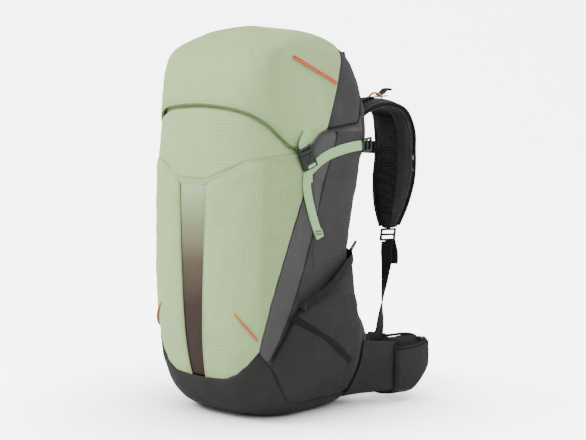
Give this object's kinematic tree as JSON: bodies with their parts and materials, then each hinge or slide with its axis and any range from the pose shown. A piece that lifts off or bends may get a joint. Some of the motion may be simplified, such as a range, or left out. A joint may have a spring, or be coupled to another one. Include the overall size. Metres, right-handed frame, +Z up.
{
  "type": "hiking backpack",
  "caption": "Lidded hiking backpack with a tensioned mesh back, padded shoulder straps, a hip belt with zipped pockets, stretch side pockets and a buckled top lid.",
  "frame": {"origin": "middle of the flat base, on the surface the bag stands on", "axes": "+Z up, -Y to the front of the bag, +Y to the wearer, +X to the right seen from the front"},
  "size_m": [0.3116, 0.427, 0.577],
  "materials": {
    "mint_ripstop": "matt ripstop nylon",
    "grey_fabric": "matt plain-weave nylon",
    "dark_fabric": "matt hard-wearing nylon",
    "stretch_fabric": "knitted stretch fabric, faded from mint to dark",
    "spacer_mesh": "open spacer mesh",
    "black_webbing": "woven nylon webbing",
    "mint_webbing": "woven nylon webbing",
    "orange_cord": "braided cord",
    "black_plastic": "moulded acetal",
    "rod_aluminium": "drawn rod"
  },
  "bodies": {
    "bag": {"base_panel": "dark_fabric", "front_panel": "mint_ripstop", "side_panel_right": "grey_fabric", "side_panel_left": "grey_fabric", "back_panel": "grey_fabric", "front_pocket_right": "mint_ripstop", "front_pocket_left": "mint_ripstop", "stretch_stripe": "stretch_fabric", "side_pocket_right": "dark_fabric", "side_pocket_left": "dark_fabric", "top_collar": "dark_fabric", "collar_drawcord": "black_webbing", "cord_lock_body": "black_plastic", "back_mesh": "spacer_mesh", "frame_rod": "rod_aluminium", "lumbar_pad": "dark_fabric", "haul_loop": "black_webbing", "buckle_socket_right": "black_plastic", "buckle_socket_left": "black_plastic", "compression_strap_right": "mint_webbing", "compression_strap_left": "mint_webbing", "ladder_lock_upper_right": "black_plastic", "ladder_lock_upper_left": "black_plastic", "ladder_lock_lower_right": "black_plastic", "ladder_lock_lower_left": "black_plastic", "lower_strap_right": "black_webbing", "lower_strap_left": "black_webbing", "pole_loop_right": "orange_cord", "pole_loop_left": "orange_cord"},
    "lid": {"lid_shell": "mint_ripstop", "lid_back": "grey_fabric", "lid_floor": "dark_fabric", "lid_zip": "black_webbing", "lid_cord": "orange_cord", "lid_stub_right": "mint_webbing", "lid_stub_left": "mint_webbing"},
    "lid_zip_slider": {"lid_zip_slider": "black_plastic"},
    "buckle_plug_right": {"buckle_plug_right": "black_plastic"},
    "buckle_plug_left": {"buckle_plug_left": "black_plastic"},
    "cord_lock_button": {"cord_lock_button": "black_plastic"},
    "shoulder_strap_right": {"shoulder_pad_right": "dark_fabric", "load_lifter_right": "black_webbing", "shoulder_lock_right": "black_plastic", "harness_webbing_right": "black_webbing"},
    "shoulder_strap_left": {"shoulder_pad_left": "dark_fabric", "load_lifter_left": "black_webbing", "shoulder_lock_left": "black_plastic", "harness_webbing_left": "black_webbing"},
    "sternum_strap": {"sternum_strap_right": "black_webbing"},
    "sternum_plug": {"sternum_strap_left": "black_webbing"},
    "hip_wing_right": {"hip_wing_right": "dark_fabric", "hip_pocket_right": "dark_fabric", "hip_belt_right": "black_webbing"},
    "hip_wing_left": {"hip_wing_left": "dark_fabric", "hip_pocket_left": "dark_fabric", "hip_belt_left": "black_webbing"},
    "hip_zip_slider_right": {"hip_zip_slider_right": "black_plastic"},
    "hip_zip_slider_left": {"hip_zip_slider_left": "black_plastic"}
  },
  "joints": [
    {"name": "lid_hinge", "type": "hinge", "parent": "bag", "child": "lid", "pos_m": [0, 0.122, 0.4805], "axis": [-1, 0, 0], "range_deg": [0, 100]},
    {"name": "lid_zip_slide", "type": "slide", "parent": "lid", "child": "lid_zip_slider", "axis": [-1, 0, 0], "range_m": [0, 0.168]},
    {"name": "lid_buckle_right", "type": "slide", "parent": "lid", "child": "buckle_plug_right", "axis": [-0.0776, -0.3527, 0.9325], "range_m": [0, 0.024], "deforming": ["lid_stub_right"]},
    {"name": "lid_buckle_left", "type": "slide", "parent": "lid", "child": "buckle_plug_left", "axis": [0.0776, -0.3527, 0.9325], "range_m": [0, 0.024], "deforming": ["lid_stub_left"]},
    {"name": "cord_lock_press", "type": "slide", "parent": "bag", "child": "cord_lock_button", "axis": [0, 0, -1], "range_m": [0, 0.003], "stiffness_N_per_m": 400},
    {"name": "shoulder_left", "type": "hinge", "parent": "bag", "child": "shoulder_strap_left", "pos_m": [0, 0.133, 0.43], "axis": [1, 0, 0], "range_deg": [-15, 8], "stiffness_Nm_per_rad": 8, "deforming": ["load_lifter_left", "harness_webbing_left"]},
    {"name": "shoulder_right", "type": "hinge", "parent": "bag", "child": "shoulder_strap_right", "pos_m": [0, 0.133, 0.43], "axis": [1, 0, 0], "range_deg": [-15, 8], "stiffness_Nm_per_rad": 8, "deforming": ["load_lifter_right", "harness_webbing_right"]},
    {"name": "sternum_height", "type": "slide", "parent": "shoulder_strap_right", "child": "sternum_strap", "axis": [0, 0, 1], "range_m": [-0.03, 0.002]},
    {"name": "sternum_buckle", "type": "slide", "parent": "sternum_strap", "child": "sternum_plug", "axis": [-1, 0, 0], "range_m": [0, 0.012]},
    {"name": "hip_wing_right_fold", "type": "hinge", "parent": "bag", "child": "hip_wing_right", "pos_m": [0.104, 0.153, 0.057], "axis": [0, 0, -1], "range_deg": [0, 25], "stiffness_Nm_per_rad": 3},
    {"name": "hip_wing_left_fold", "type": "hinge", "parent": "bag", "child": "hip_wing_left", "pos_m": [-0.104, 0.153, 0.057], "axis": [0, 0, 1], "range_deg": [0, 25], "stiffness_Nm_per_rad": 3},
    {"name": "hip_zip_right", "type": "slide", "parent": "hip_wing_right", "child": "hip_zip_slider_right", "axis": [0, -1, 0], "range_m": [0, 0.05]},
    {"name": "hip_zip_left", "type": "slide", "parent": "hip_wing_left", "child": "hip_zip_slider_left", "axis": [0, -1, 0], "range_m": [0, 0.05]}
  ],
  "couplings": [
    {"joint": "shoulder_right", "follows": "shoulder_left", "ratio": 1}
  ]
}
